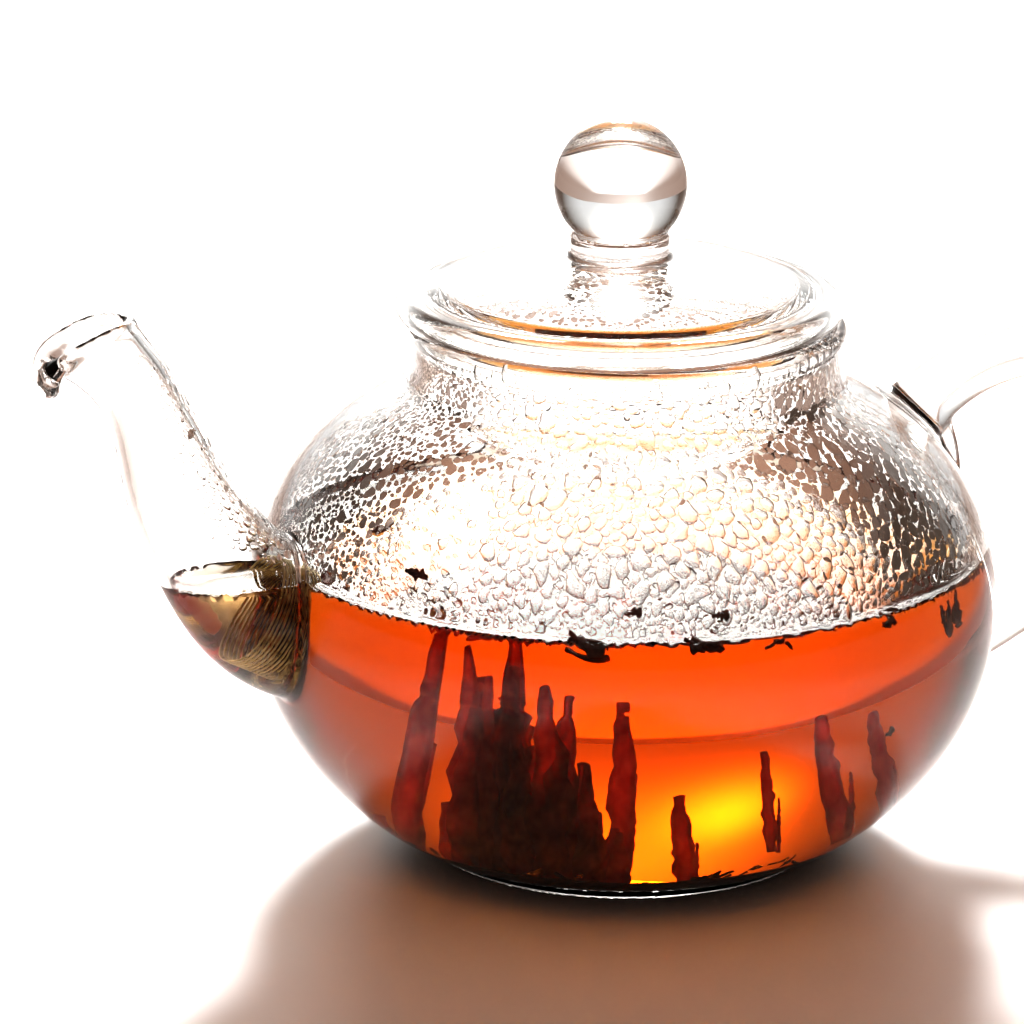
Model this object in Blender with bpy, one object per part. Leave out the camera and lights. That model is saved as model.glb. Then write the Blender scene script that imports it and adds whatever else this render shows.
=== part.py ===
"""Glass teapot with a lid, a strained spout and loose leaf tea.

Metres, +Z up. The body is turned about the Z axis and its foot stands on z = 0.
The spout points along -X and the handle along +X.
"""

import math

import bmesh
import bpy
from mathutils import Vector

# ---------------------------------------------------------------- driving dimensions
GAP = 0.0003                 # clearance between faces that touch
WALL = 0.0022                # blown glass wall

FOOT_RADIUS = 0.0380
FOOT_HEIGHT = 0.0018
FLOOR = FOOT_HEIGHT + GAP    # underside of the vessel

BODY_RADIUS = 0.0700
BELLY_HEIGHT = 0.0470        # height of the widest circle
LOWER_DEPTH = 0.0556         # half height of the ellipse below the belly
UPPER_DEPTH = 0.0487         # half height of the squarer curve above it
UPPER_SQUARENESS = 2.25
BASE_FLAT_RADIUS = 0.0363
BASE_FILLET = 0.0164         # round between the flat bottom and the side
BASE_FILLET_TOP = 0.0050

NECK_RADIUS = 0.0399
NECK_BLEND = 0.0030          # how softly the shoulder runs into the neck
NECK_TOP = 0.0974
RIM_CENTRE = (0.0389, 0.0997)
RIM_ROUND = 0.0020

TEA_LEVEL = 0.0585
BED_TOP = 0.0078             # top of the leaves that lie on the bottom
BED_RELIEF = 0.0010

LID_X = -0.0017              # the loose lid rests a little towards the spout
LID_EDGE_CENTRE = (0.0395, 0.1043)
LID_EDGE_ROUND = 0.0023
LID_CROWN = 0.1137           # flat seat of the knob on top of the dome
LID_DROP = 0.0074            # fall of the dome from its seat to its edge
LID_WALL = 0.0024
LID_SEAT_RADIUS = 0.0096     # flat circle under the knob's neck
SKIRT_RADIUS = 0.0345
SKIRT_WALL = 0.0020
SKIRT_BOTTOM = 0.0945
KNOB_NECK_RADIUS = 0.0090
KNOB_NECK_TOP = 0.1183
KNOB_NECK_WAIST = 0.0084
BALL_RADIUS = 0.0124
BALL_HEIGHT = 0.1273

# Rings of the spout: x, z, tilt of the long axis in degrees, half length, half width.
SPOUT_STATIONS = (
    (-0.0580, 0.0490, 78, 0.0164, 0.0155),
    (-0.0674, 0.0511, 68, 0.0153, 0.0146),
    (-0.0754, 0.0560, 45, 0.0131, 0.0124),
    (-0.0812, 0.0635, 34, 0.0117, 0.0109),
    (-0.0859, 0.0716, 27, 0.0106, 0.0098),
    (-0.0895, 0.0796, 22, 0.0094, 0.0087),
    (-0.0932, 0.0900, 23, 0.0078, 0.0074),
    (-0.0968, 0.0973, 27, 0.0074, 0.0069),
    (-0.1010, 0.1023, 27, 0.0079, 0.0067),
    (-0.1046, 0.1056, 27, 0.0090, 0.0067),
)
SPOUT_WALL = 0.0018
HOLE_RELIEF = 0.0022         # how much smaller the hole in the vessel is than the spout's bore
HOLE_STATIONS = 6            # rings of the spout's path that the hole's plug is made of
LIP_BEAD = (0.0009, 0.0021)  # radius of the lip's bead at the heel and at the pouring tip
LIP_CURL = 120               # degrees that the bead curls over at the tip

# Centres of the handle rod: x, z, radius. Both ends run into the body, where they are trimmed.
HANDLE_POINTS = (
    (0.0540, 0.0740, 0.0069),
    (0.0605, 0.0793, 0.0062),
    (0.0665, 0.0834, 0.0058),
    (0.0728, 0.0862, 0.0055),
    (0.0820, 0.0880, 0.0052),
    (0.0920, 0.0863, 0.0050),
    (0.1003, 0.0803, 0.0050),
    (0.1049, 0.0713, 0.0050),
    (0.1052, 0.0612, 0.0050),
    (0.1010, 0.0516, 0.0051),
    (0.0933, 0.0439, 0.0053),
    (0.0840, 0.0386, 0.0058),
    (0.0770, 0.0356, 0.0064),
    (0.0700, 0.0334, 0.0072),
    (0.0620, 0.0313, 0.0076),
)
HANDLE_SPLITS = (2, 12)      # points where the rod meets its upper and its lower root
TAIL_POINTS = (
    (0.0600, 0.0790, 0.0034),
    (0.0636, 0.0750, 0.0031),
    (0.0658, 0.0712, 0.0025),
    (0.0672, 0.0675, 0.0018),
    (0.0683, 0.0640, 0.0008),
)

# The strainer coil: centres of its two ends, radius, wire and turns.
COIL_ENDS = ((-0.0712, 0.0523), (-0.0750, 0.0544))
COIL_RADIUS = 0.0096
COIL_WIRE = 0.0003
COIL_TURNS = 5
COIL_STEPS = 20              # rings per turn
COIL_REACH = 0.0808          # distance from the body's axis that the coil stays within

# Standing leaves: angle round the axis in degrees, distance from it, height, half width, lean.
STANDING_LEAVES = (
    (157.5, 0.0310, 0.026, 0.0022, 0.005),
    (164, 0.0345, 0.009, 0.0018, -0.001),
    (-112.5, 0.0030, 0.019, 0.0017, 0.000),
    (-77, 0.0172, 0.012, 0.0016, -0.001),
    (-14.6, 0.0219, 0.009, 0.0010, -0.001),
    (-22.5, 0.0310, 0.014, 0.0017, -0.002),
    (-12, 0.0384, 0.010, 0.0015, -0.002),
)
CLUMP_CENTRE = (-0.0150, -0.0035)
CLUMP_TOPS = (0.024, 0.042, 0.040, 0.036, 0.034, 0.027, 0.018)
CLUMP_STEP = 0.0034          # distance between the clump's jagged tops
CLUMP_HALF_THICKNESS = 0.0030
CLUMP_TURN = -22             # degrees about Z

# Floating leaves: angle round the axis in degrees, distance from it, half length, half width.
FLOATING_LEAVES = (
    (-115, 0.0610, 0.0040, 0.0016),
    (-97, 0.0615, 0.0024, 0.0018),
    (-70, 0.0618, 0.0026, 0.0014),
    (-46, 0.0612, 0.0036, 0.0022),
    (150, 0.0480, 0.0030, 0.0015),
)
LEAF_THICKNESS = 0.0007
LEAF_ROOM = 0.0004           # clearance of the tea round the standing leaves
LEAF_SINK = 0.0040           # how far the cutters for it reach below the leaves

STEPS = 40                   # facets round the big turned pieces
KNOB_STEPS = 28              # facets round the knob
SIDES = 18                   # facets round the spout
ROD_SIDES = 14               # facets round the handle
LIP_STEPS = 28               # rings round the spout's mouth
LIP_SIDES = 8
WIRE_SIDES = 6


# ---------------------------------------------------------------- materials
def shader(name, colour, roughness, metallic=0.0, transmission=0.0, ior=1.45):
    mat = bpy.data.materials.new(name)
    mat.use_nodes = True
    sockets = mat.node_tree.nodes["Principled BSDF"].inputs
    sockets["Base Color"].default_value = (*colour, 1.0)
    sockets["Roughness"].default_value = roughness
    sockets["Metallic"].default_value = metallic
    sockets["Transmission Weight"].default_value = transmission
    sockets["IOR"].default_value = ior
    return mat


def glass(name):
    return shader(name, (0.93, 0.92, 0.90), 0.02, transmission=1.0, ior=1.47)


def tea_liquid(name):
    return shader(name, (0.80, 0.25, 0.05), 0.02, transmission=0.9, ior=1.33)


def wet_leaf(name):
    return shader(name, (0.12, 0.03, 0.02), 0.5)


def steel(name):
    return shader(name, (0.55, 0.52, 0.45), 0.3, metallic=1.0)


# ---------------------------------------------------------------- building blocks
def add_object(name, bm, mat, smooth_angle=40):
    """Turns a bmesh into a named object with one material and its faces pointing out."""
    bmesh.ops.remove_doubles(bm, verts=bm.verts, dist=1e-6)
    bmesh.ops.recalc_face_normals(bm, faces=bm.faces)
    mesh = bpy.data.meshes.new(name)
    bm.to_mesh(mesh)
    bm.free()
    mesh.materials.append(mat)
    mesh.shade_smooth()
    mesh.set_sharp_from_angle(angle=math.radians(smooth_angle))
    obj = bpy.data.objects.new(name, mesh)
    bpy.context.scene.collection.objects.link(obj)
    return obj


def turned(name, outline, mat, steps=STEPS, closed=False):
    """Spins an outline of (radius, height) points about the Z axis."""
    bm = bmesh.new()
    verts = [bm.verts.new((r, 0.0, z)) for r, z in outline]
    edges = [bm.edges.new(pair) for pair in zip(verts, verts[1:])]
    if closed:
        edges.append(bm.edges.new((verts[-1], verts[0])))
    bmesh.ops.spin(bm, geom=verts + edges, cent=(0, 0, 0), axis=(0, 0, 1),
                   angle=math.tau, steps=steps, use_merge=True)
    return add_object(name, bm, mat)


def arc(centre, radius, start, end, count):
    """Points on an arc in the (radius, height) plane, with angles in degrees."""
    points = []
    for i in range(count + 1):
        angle = math.radians(start + (end - start) * i / count)
        points.append((centre[0] + radius * math.cos(angle), centre[1] + radius * math.sin(angle)))
    return points


def smooth_path(points, per_span):
    """A Catmull-Rom curve through points of any number of coordinates."""
    before = tuple(2 * a - b for a, b in zip(points[0], points[1]))
    after = tuple(2 * a - b for a, b in zip(points[-1], points[-2]))
    knots = [before, *points, after]
    path = []
    for p0, p1, p2, p3 in zip(knots, knots[1:], knots[2:], knots[3:]):
        for i in range(per_span):
            t = i / per_span
            path.append(tuple(
                0.5 * (2 * b + (c - a) * t + (2 * a - 5 * b + 4 * c - d) * t * t
                       + (3 * b - a - 3 * c + d) * t ** 3)
                for a, b, c, d in zip(p0, p1, p2, p3)))
    path.append(tuple(points[-1]))
    return path


def ellipse(centre, along, across, half_long, half_wide, sides):
    """Points round an ellipse whose axes lie along two directions."""
    points = []
    for i in range(sides):
        angle = math.tau * i / sides
        points.append(centre + along * (half_long * math.cos(angle))
                      + across * (half_wide * math.sin(angle)))
    return points


def rod_rings(path, sides=ROD_SIDES, grow=0.0):
    """Round rings square to a path of (x, z, radius) points."""
    rings = []
    for i, (x, z, radius) in enumerate(path):
        behind = path[max(i - 1, 0)]
        ahead = path[min(i + 1, len(path) - 1)]
        run = Vector((ahead[0] - behind[0], 0, ahead[1] - behind[1])).normalized()
        side = Vector((-run.z, 0, run.x))
        rings.append(ellipse(Vector((x, 0, z)), side, Vector((0, 1, 0)),
                             radius + grow, radius + grow, sides))
    return rings


def lofted(name, rings, mat, endless=False, smooth_angle=40):
    """Skins rings of equal size. The ends are capped, or joined to each other when endless."""
    bm = bmesh.new()
    rows = [[bm.verts.new(point) for point in points] for points in rings]
    pairs = list(zip(rows, rows[1:]))
    if endless:
        pairs.append((rows[-1], rows[0]))
    for low, high in pairs:
        for i in range(len(low)):
            j = (i + 1) % len(low)
            bm.faces.new((low[i], low[j], high[j], high[i]))
    if not endless:
        bm.faces.new(rows[0])
        bm.faces.new(rows[-1])
    return add_object(name, bm, mat, smooth_angle)


def block(name, low, high):
    """A plain box between two corners, used only as a cutter."""
    corners = [(low[0], low[1]), (high[0], low[1]), (high[0], high[1]), (low[0], high[1])]
    rings = [[Vector((x, y, z)) for x, y in corners] for z in (low[2], high[2])]
    return lofted(name, rings, glass(name + "_mat"))


def cutter(obj):
    """Marks an object as a cutting tool that is no piece of the teapot."""
    obj.hide_render = True
    obj.display_type = "WIRE"
    return obj


def cut(obj, tool, operation="DIFFERENCE"):
    boolean = obj.modifiers.new(tool.name, "BOOLEAN")
    boolean.operation = operation
    boolean.solver = "EXACT"
    boolean.object = tool


# ---------------------------------------------------------------- vessel, rim and foot
def body_radius_at(z):
    """Outside radius of the blown body and its neck at a height."""
    if z < BASE_FILLET_TOP:
        drop = FLOOR + BASE_FILLET - z
        return BASE_FLAT_RADIUS + math.sqrt(BASE_FILLET ** 2 - drop ** 2)
    if z < BELLY_HEIGHT:
        return BODY_RADIUS * math.sqrt(1 - ((BELLY_HEIGHT - z) / LOWER_DEPTH) ** 2)
    rise = min((z - BELLY_HEIGHT) / UPPER_DEPTH, 1.0)
    shoulder = BODY_RADIUS * (1 - rise ** UPPER_SQUARENESS) ** (1 / UPPER_SQUARENESS)
    return 0.5 * (shoulder + NECK_RADIUS + math.hypot(shoulder - NECK_RADIUS, NECK_BLEND))


def body_outline(offset):
    """The body's outline from its bottom to its neck, moved outwards by offset."""
    nudge = 1e-5
    heights = (0.0032, 0.0050, 0.0090, 0.0150, 0.0230, 0.0330, 0.0400, BELLY_HEIGHT,
               0.0540, 0.0610, 0.0680, 0.0740, 0.0790, 0.0835, 0.0870, 0.0905)
    points = [(0.0, FLOOR - offset), (BASE_FLAT_RADIUS, FLOOR - offset)]
    for z in heights:
        slope = (body_radius_at(z + nudge) - body_radius_at(z)) / nudge
        length = math.hypot(1, slope)
        points.append((body_radius_at(z) + offset / length, z - offset * slope / length))
    points.append((NECK_RADIUS + offset, NECK_TOP))
    return points


def build_vessel(hole):
    outer = body_outline(0)
    inner = body_outline(-WALL)
    vessel = turned("vessel", outer + inner[::-1], glass("vessel_glass"))
    cut(vessel, hole)


def build_neck_rim():
    """A rolled bead with a flat underside, on top of the neck."""
    base = NECK_TOP + GAP
    outline = [(NECK_RADIUS - WALL, base), (NECK_RADIUS, base)]
    outline += arc(RIM_CENTRE, RIM_ROUND, -50, 230, 8)
    turned("neck_rim", outline, glass("rim_glass"), closed=True)


def build_foot():
    round_off = FOOT_HEIGHT / 2
    edge = arc((FOOT_RADIUS - round_off, round_off), round_off, -90, 90, 4)
    turned("foot_disc", [(0, 0), *edge, (0, FOOT_HEIGHT)], glass("foot_glass"))


def body_cutter(name, offset):
    """The body as a solid, grown by offset. It trims what is fused to the wall."""
    return cutter(turned(name, body_outline(offset) + [(0, NECK_TOP)], glass(name + "_mat")))


# ---------------------------------------------------------------- spout, lip and strainer
def spout_path(per_span=2):
    return smooth_path(SPOUT_STATIONS, per_span)


def spout_rings(path, shrink=0.0):
    rings = []
    for x, z, tilt, half_long, half_wide in path:
        angle = math.radians(tilt)
        along = Vector((math.cos(angle), 0, math.sin(angle)))
        rings.append(ellipse(Vector((x, 0, z)), along, Vector((0, 1, 0)),
                             half_long - shrink, half_wide - shrink, SIDES))
    return rings


def build_spout(wall_tool):
    path = spout_path()
    rings = spout_rings(path) + spout_rings(path, SPOUT_WALL)[::-1]
    spout = lofted("spout", rings, glass("spout_glass"), endless=True)
    cut(spout, wall_tool)


def spout_hole():
    """A plug of the spout's bore, which opens the vessel's wall."""
    rings = spout_rings(spout_path()[:HOLE_STATIONS], SPOUT_WALL + HOLE_RELIEF)
    return cutter(lofted("spout_hole", rings, glass("spout_hole_mat")))


def build_spout_lip():
    """A bead round the slanted mouth, which thickens and curls over at the pouring tip."""
    x, z, tilt, half_long, half_wide = SPOUT_STATIONS[-1]
    angle = math.radians(tilt)
    along = Vector((math.cos(angle), 0, math.sin(angle)))
    normal = Vector((-math.sin(angle), 0, math.cos(angle)))
    wall_middle = SPOUT_WALL / 2
    rings = []
    for i in range(LIP_STEPS):
        turn = math.tau * i / LIP_STEPS
        outward = (along * math.cos(turn) + Vector((0, math.sin(turn), 0))).normalized()
        edge = Vector((x, 0, z)) + along * ((half_long - wall_middle) * math.cos(turn))
        edge.y = (half_wide - wall_middle) * math.sin(turn)
        tip = ((1 - math.cos(turn)) / 2) ** 5
        bead = LIP_BEAD[0] + (LIP_BEAD[1] - LIP_BEAD[0]) * tip
        curl = math.radians(LIP_CURL * tip)
        reach = bead + GAP + 1.2 * wall_middle * tip
        centre = edge + (normal * math.cos(curl) + outward * math.sin(curl)) * reach
        rings.append(ellipse(centre, outward, normal, bead, bead, LIP_SIDES))
    lofted("spout_lip", rings, glass("lip_glass"), endless=True)


def build_strainer():
    """A coil of steel wire in the root of the spout. It keeps the leaves in the pot."""
    start = Vector((COIL_ENDS[0][0], 0, COIL_ENDS[0][1]))
    run = Vector((COIL_ENDS[1][0], 0, COIL_ENDS[1][1])) - start
    axis = run.normalized()
    side = Vector((0, 1, 0))
    up = axis.cross(side)
    count = COIL_TURNS * COIL_STEPS
    rings = []
    for i in range(count + 1):
        turn = math.tau * i / COIL_STEPS
        spoke = side * math.cos(turn) + up * math.sin(turn)
        centre = start + run * (i / count) + spoke * COIL_RADIUS
        rings.append(ellipse(centre, spoke, axis, COIL_WIRE, COIL_WIRE, WIRE_SIDES))
    lofted("spout_strainer", rings, steel("strainer_steel"))


# ---------------------------------------------------------------- handle
def build_handle(wall_tool):
    """The rod and the two flared roots that fuse it to the body."""
    per_span = 3
    path = smooth_path(HANDLE_POINTS, per_span)
    upper, lower = (index * per_span for index in HANDLE_SPLITS)
    pieces = {
        "handle_upper_root": path[:upper + 1],
        "handle_rod": [pull_back(path[upper], path[upper + 1])] + path[upper + 1:lower]
                      + [pull_back(path[lower], path[lower - 1])],
        "handle_lower_root": path[lower:],
    }
    for name, run in pieces.items():
        piece = lofted(name, rod_rings(run), glass(name + "_glass"))
        if name != "handle_rod":
            cut(piece, wall_tool)


def pull_back(point, towards):
    """A point moved by the gap along the line to another one."""
    length = math.hypot(towards[0] - point[0], towards[1] - point[1])
    share = GAP / length
    return tuple(a + (b - a) * share for a, b in zip(point, towards))


def build_handle_tail(wall_tool):
    """Glass drawn down the shoulder below the handle's upper root."""
    tail = lofted("handle_tail", rod_rings(smooth_path(TAIL_POINTS, 2), 12), glass("tail_glass"))
    root = rod_rings(smooth_path(HANDLE_POINTS[:HANDLE_SPLITS[0] + 2], 3), grow=GAP)
    cut(tail, wall_tool)
    cut(tail, cutter(lofted("tail_trim", root, glass("tail_trim_mat"))))


# ---------------------------------------------------------------- lid
def dome_height(radius):
    """Height of the dome's upper face at a distance from the lid's axis."""
    share = max(radius - LID_SEAT_RADIUS, 0) / (LID_EDGE_CENTRE[0] - LID_SEAT_RADIUS)
    return LID_CROWN - LID_DROP * share ** 2


def build_lid(carrier):
    dome_radii = (LID_SEAT_RADIUS, 0.0150, 0.0210, 0.0270, 0.0325, 0.0370)
    top = [(r, dome_height(r)) for r in dome_radii]
    edge = arc(LID_EDGE_CENTRE, LID_EDGE_ROUND, 80, -120, 8)
    under = [(r, dome_height(r) - LID_WALL) for r in dome_radii[::-1]]
    outline = [(0, LID_CROWN), *top, *edge, *under, (0, LID_CROWN - LID_WALL)]
    pieces = [turned("lid_dome", outline, glass("lid_glass"))]

    skirt_top = dome_height(SKIRT_RADIUS) - LID_WALL - GAP
    skirt = [(SKIRT_RADIUS, SKIRT_BOTTOM), (SKIRT_RADIUS, skirt_top),
             (SKIRT_RADIUS - SKIRT_WALL, skirt_top), (SKIRT_RADIUS - SKIRT_WALL, SKIRT_BOTTOM)]
    pieces.append(turned("lid_skirt", skirt, glass("skirt_glass"), closed=True))

    low, high = LID_CROWN + GAP, KNOB_NECK_TOP
    neck = [(0, low), (KNOB_NECK_RADIUS, low), (KNOB_NECK_WAIST, (low + high) / 2),
            (KNOB_NECK_RADIUS, high), (0, high)]
    pieces.append(turned("knob_neck", neck, glass("knob_neck_glass"), steps=KNOB_STEPS))

    seat = math.degrees(math.asin((KNOB_NECK_TOP + GAP - BALL_HEIGHT) / BALL_RADIUS))
    ball = [(0, KNOB_NECK_TOP + GAP), *arc((0, BALL_HEIGHT), BALL_RADIUS, seat, 90, 12)]
    pieces.append(turned("knob_ball", ball, glass("ball_glass"), steps=KNOB_STEPS))

    for piece in pieces:
        piece.parent = carrier


def lid_carrier():
    """The empty on the lid's own upright axis, which all lid pieces hang from."""
    carrier = bpy.data.objects.new("lid_axis", None)
    carrier.location = (LID_X, 0, 0)
    bpy.context.scene.collection.objects.link(carrier)
    return carrier


# ---------------------------------------------------------------- tea and leaves
def fill_outline(low, high):
    """Outline of what fills the vessel between two heights, clear of its inner wall."""
    wall = body_outline(-WALL - GAP)
    points = [(0, low)]
    for (r0, z0), (r1, z1) in zip(wall, wall[1:]):
        for level in (low, high):
            if z0 < level <= z1:
                points.append((r0 + (r1 - r0) * (level - z0) / (z1 - z0), level))
        if low < z1 < high:
            points.append((r1, z1))
    points.sort(key=lambda point: point[1])
    return points + [(0, high)]


def build_leaf_bed():
    """A low uneven layer of leaves on the bottom."""
    bottom = FLOOR + WALL + GAP
    outline = fill_outline(bottom + 0.0001, BED_TOP)
    rim = outline[-2][0]
    top = [(rim * share, BED_TOP) for share in (0.8, 0.6, 0.4, 0.2)]
    bed = turned("leaf_bed", outline[:-1] + top + [(0, BED_TOP)], wet_leaf("bed_leaf"), steps=STEPS)
    for vert in bed.data.vertices:
        if vert.co.z > BED_TOP - 1e-5 and vert.co.xy.length < 0.9 * rim:
            wave = math.sin(310 * vert.co.x + 1) * math.cos(270 * vert.co.y) - 1
            vert.co.z += 0.5 * BED_RELIEF * wave
    return bed


def on_circle(angle, distance, z):
    turn = math.radians(angle)
    return Vector((distance * math.cos(turn), distance * math.sin(turn), z))


def blade_rings(index, grow=0.0, sink=0.0):
    """A ragged upright leaf: rings of changing width from the bed to its tip."""
    angle, distance, height, half_width, lean = STANDING_LEAVES[index]
    foot = on_circle(angle, distance, BED_TOP + GAP)
    levels = 6
    rings = []
    for i in range(levels + 1):
        share = i / levels
        ragged = 1 + 0.25 * math.sin(2.4 * i + index) - 0.55 * share ** 3
        rise = height * share + (grow if i == levels else 0) - (sink if i == 0 else 0)
        centre = foot + Vector((lean * share, 0, rise))
        rings.append(ellipse(centre, Vector((1, 0, 0)), Vector((0, 1, 0)),
                             half_width * ragged + grow, 0.45 * half_width + grow, 6))
    return rings


def clump_rings(grow=0.0, sink=0.0):
    """The big clump: an upright slab with a jagged top, as rings along its length."""
    turn = math.radians(CLUMP_TURN)
    along = Vector((math.cos(turn), math.sin(turn), 0))
    across = Vector((-math.sin(turn), math.cos(turn), 0)) * (CLUMP_HALF_THICKNESS + grow)
    low = Vector((0, 0, BED_TOP + GAP - sink))
    last = len(CLUMP_TOPS) - 1
    rings = []
    for i, top in enumerate(CLUMP_TOPS):
        spread = grow * (1 if i == last else -1 if i == 0 else 0)
        middle = Vector((*CLUMP_CENTRE, 0)) + along * ((i - last / 2) * CLUMP_STEP + spread)
        high = Vector((0, 0, top + 3 * grow))
        rings.append([middle - across + low, middle + across + low,
                      middle + across + high, middle - across + high])
    return rings


def build_leaves():
    """Standing and floating leaves. Returns a cutter round each one that stands in the tea."""
    tools = []
    lofted("leaf_clump", clump_rings(), wet_leaf("clump_leaf"), smooth_angle=20)
    tools.append(cutter(lofted("clump_room", clump_rings(LEAF_ROOM, LEAF_SINK),
                               wet_leaf("clump_room_mat"))))
    for index in range(len(STANDING_LEAVES)):
        name = f"leaf_stem_{index + 1}"
        lofted(name, blade_rings(index), wet_leaf(name + "_leaf"))
        tools.append(cutter(lofted(f"stem_room_{index + 1}", blade_rings(index, LEAF_ROOM, LEAF_SINK),
                                   wet_leaf(f"stem_room_{index + 1}_mat"))))
    for index, (angle, distance, half_long, half_wide) in enumerate(FLOATING_LEAVES):
        radial = on_circle(angle, 1, 0)
        tangent = Vector((-radial.y, radial.x, 0))
        rings = []
        for rise, size in ((0, 0.85), (0.5 * LEAF_THICKNESS, 1), (LEAF_THICKNESS, 0.8)):
            centre = on_circle(angle, distance, TEA_LEVEL + GAP + rise)
            rings.append(ellipse(centre, tangent, radial, half_long * size, half_wide * size, 10))
        lofted(f"leaf_float_{index + 1}", rings, wet_leaf(f"float_leaf_{index + 1}"))
    return tools


def build_tea(leaf_tools):
    tea = turned("tea", fill_outline(BED_TOP + GAP, TEA_LEVEL), tea_liquid("tea_liquid"))
    for tool in leaf_tools:
        cut(tea, tool)


def build_spout_tea():
    """Tea in the spout, at the same level as in the body, beyond the strainer."""
    rings = spout_rings(spout_path()[:14], SPOUT_WALL + GAP)
    tea = lofted("tea_in_spout", rings, tea_liquid("spout_tea_liquid"))
    below = block("spout_tea_room", (-0.11, -0.03, 0.02), (-0.05, 0.03, TEA_LEVEL))
    reach = turned("strainer_room", [(0, 0.02), (COIL_REACH, 0.02), (COIL_REACH, 0.08), (0, 0.08)],
                   glass("strainer_room_mat"))
    cut(tea, cutter(reach))
    cut(tea, cutter(below), "INTERSECT")


# ---------------------------------------------------------------- the teapot
def main():
    for obj in list(bpy.data.objects):
        bpy.data.objects.remove(obj, do_unlink=True)

    wall_tool = body_cutter("wall_trim", GAP)
    build_vessel(spout_hole())
    build_neck_rim()
    build_foot()
    build_spout(wall_tool)
    build_spout_lip()
    build_strainer()
    build_handle(wall_tool)
    build_handle_tail(wall_tool)
    build_lid(lid_carrier())
    build_leaf_bed()
    leaf_tools = build_leaves()
    build_tea(leaf_tools)
    build_spout_tea()


main()
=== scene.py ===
"""Looks of a glass teapot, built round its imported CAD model.

Shape functions work in millimetres. Meshes are in metres, in the model's own frame.
"""

import math

import bpy
import numpy as np
from mathutils import Matrix, Vector


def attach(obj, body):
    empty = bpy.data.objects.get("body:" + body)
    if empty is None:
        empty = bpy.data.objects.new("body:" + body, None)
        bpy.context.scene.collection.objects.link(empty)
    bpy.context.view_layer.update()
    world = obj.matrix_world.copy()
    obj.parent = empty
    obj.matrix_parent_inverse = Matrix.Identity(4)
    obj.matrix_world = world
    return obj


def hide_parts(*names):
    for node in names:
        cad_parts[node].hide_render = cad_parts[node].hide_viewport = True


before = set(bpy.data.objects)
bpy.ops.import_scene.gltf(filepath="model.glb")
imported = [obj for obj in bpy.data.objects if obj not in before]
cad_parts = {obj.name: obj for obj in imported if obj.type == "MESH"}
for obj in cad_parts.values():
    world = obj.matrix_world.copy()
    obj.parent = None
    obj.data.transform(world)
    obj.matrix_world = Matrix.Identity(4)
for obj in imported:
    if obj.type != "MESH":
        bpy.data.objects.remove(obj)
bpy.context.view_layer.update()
rng = np.random.default_rng(11)
STEP = 1.0      # grid step of the fused glass, well under the thinnest wall

# ---------------------------------------------------------------- sizes, in millimetres
WALL = 2.2
FLOOR = 2.1
BODY_RADIUS = 70
WIDEST = 47           # height of the body's widest ring
NECK_RADIUS = 39.9
FOOT_RADIUS = 37.1
FOOT_EDGE = 0.9       # radius of the foot's rounded edge, half its thickness
TEA_LEVEL = 57.4      # between the rises where the tea wets the glass
TEA_OVERLAP = 0.6     # how far the tea reaches into the glass
BED_TOP = 7.8
SPOUT_WALL = 1.8
MOUTH_ARCH = 2.2      # rise of the mouth's rim between its two ends
VIEW_DEGREES = 22.5   # the spout is turned this far towards the viewer

LID_X = -1.7
LID_TOP = 113.7
LID_FLAT = 9.6        # radius of the flat middle of the dome
LID_SPAN = 29.9       # from there to the edge
LID_FALL = 7.4        # how far the dome comes down over its span
LID_WALL = 2.4
LID_RADIUS = 39.5

COIL_START = (-64.5, 0, 49.6)
COIL_END = (-73.5, 0, 53.8)
COIL_RADIUS = 9.3
COIL_WIRE = 0.24
COIL_TURNS = 13

SPOUT_STATIONS = np.array([
    (-58.0, 49.0, 78, 16.4, 15.5), (-67.4, 51.1, 68, 15.3, 14.6), (-75.4, 56.0, 45, 13.1, 12.4),
    (-81.2, 63.5, 34, 11.7, 10.9), (-85.9, 71.6, 27, 10.6, 9.8), (-89.5, 79.6, 22, 9.4, 8.7),
    (-93.2, 90.0, 23, 7.8, 7.4), (-96.8, 97.3, 27, 7.4, 6.9), (-101.0, 102.3, 27, 7.9, 6.7),
    (-104.6, 105.6, 27, 9.0, 6.7)])
HANDLE_POINTS = np.array([
    (54.0, 74.0, 6.9), (60.5, 79.3, 6.2), (66.5, 83.4, 5.8), (72.8, 86.2, 5.5), (82.0, 88.0, 5.2),
    (92.0, 86.3, 5.0), (100.3, 80.3, 5.0), (104.85, 71.3, 5.0), (105.15, 61.2, 5.0),
    (101.0, 51.6, 5.1), (93.3, 43.9, 5.3), (84.0, 38.6, 5.8), (77.0, 35.6, 6.4),
    (70.0, 33.4, 7.2), (62.0, 31.3, 7.6)])
TAIL_POINTS = np.array([
    (60.0, 79.0, 3.4), (63.6, 75.0, 3.1), (65.8, 71.2, 2.5), (67.2, 67.5, 1.8), (68.3, 64.0, 0.8)])


# ---------------------------------------------------------------- curves and blends
class Spline:
    """A natural cubic curve through rows of numbers. Its parameter runs from 0 to 1."""

    def __init__(self, rows):
        self.rows = np.asarray(rows, float)
        count = len(self.rows)
        system = np.eye(count)
        right = np.zeros_like(self.rows)
        for i in range(1, count - 1):
            system[i, i - 1:i + 2] = (1, 4, 1)
            right[i] = 6 * (self.rows[i - 1] - 2 * self.rows[i] + self.rows[i + 1])
        self.bend = np.linalg.solve(system, right)

    def __call__(self, t):
        last = len(self.rows) - 1
        place = np.clip(t, 0, 1) * last
        i = np.minimum(place.astype(int), last - 1)
        u = (place - i)[..., None]
        v = 1 - u
        return (v * self.rows[i] + u * self.rows[i + 1]
                + (v ** 3 - v) * self.bend[i] / 6 + (u ** 3 - u) * self.bend[i + 1] / 6)


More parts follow.
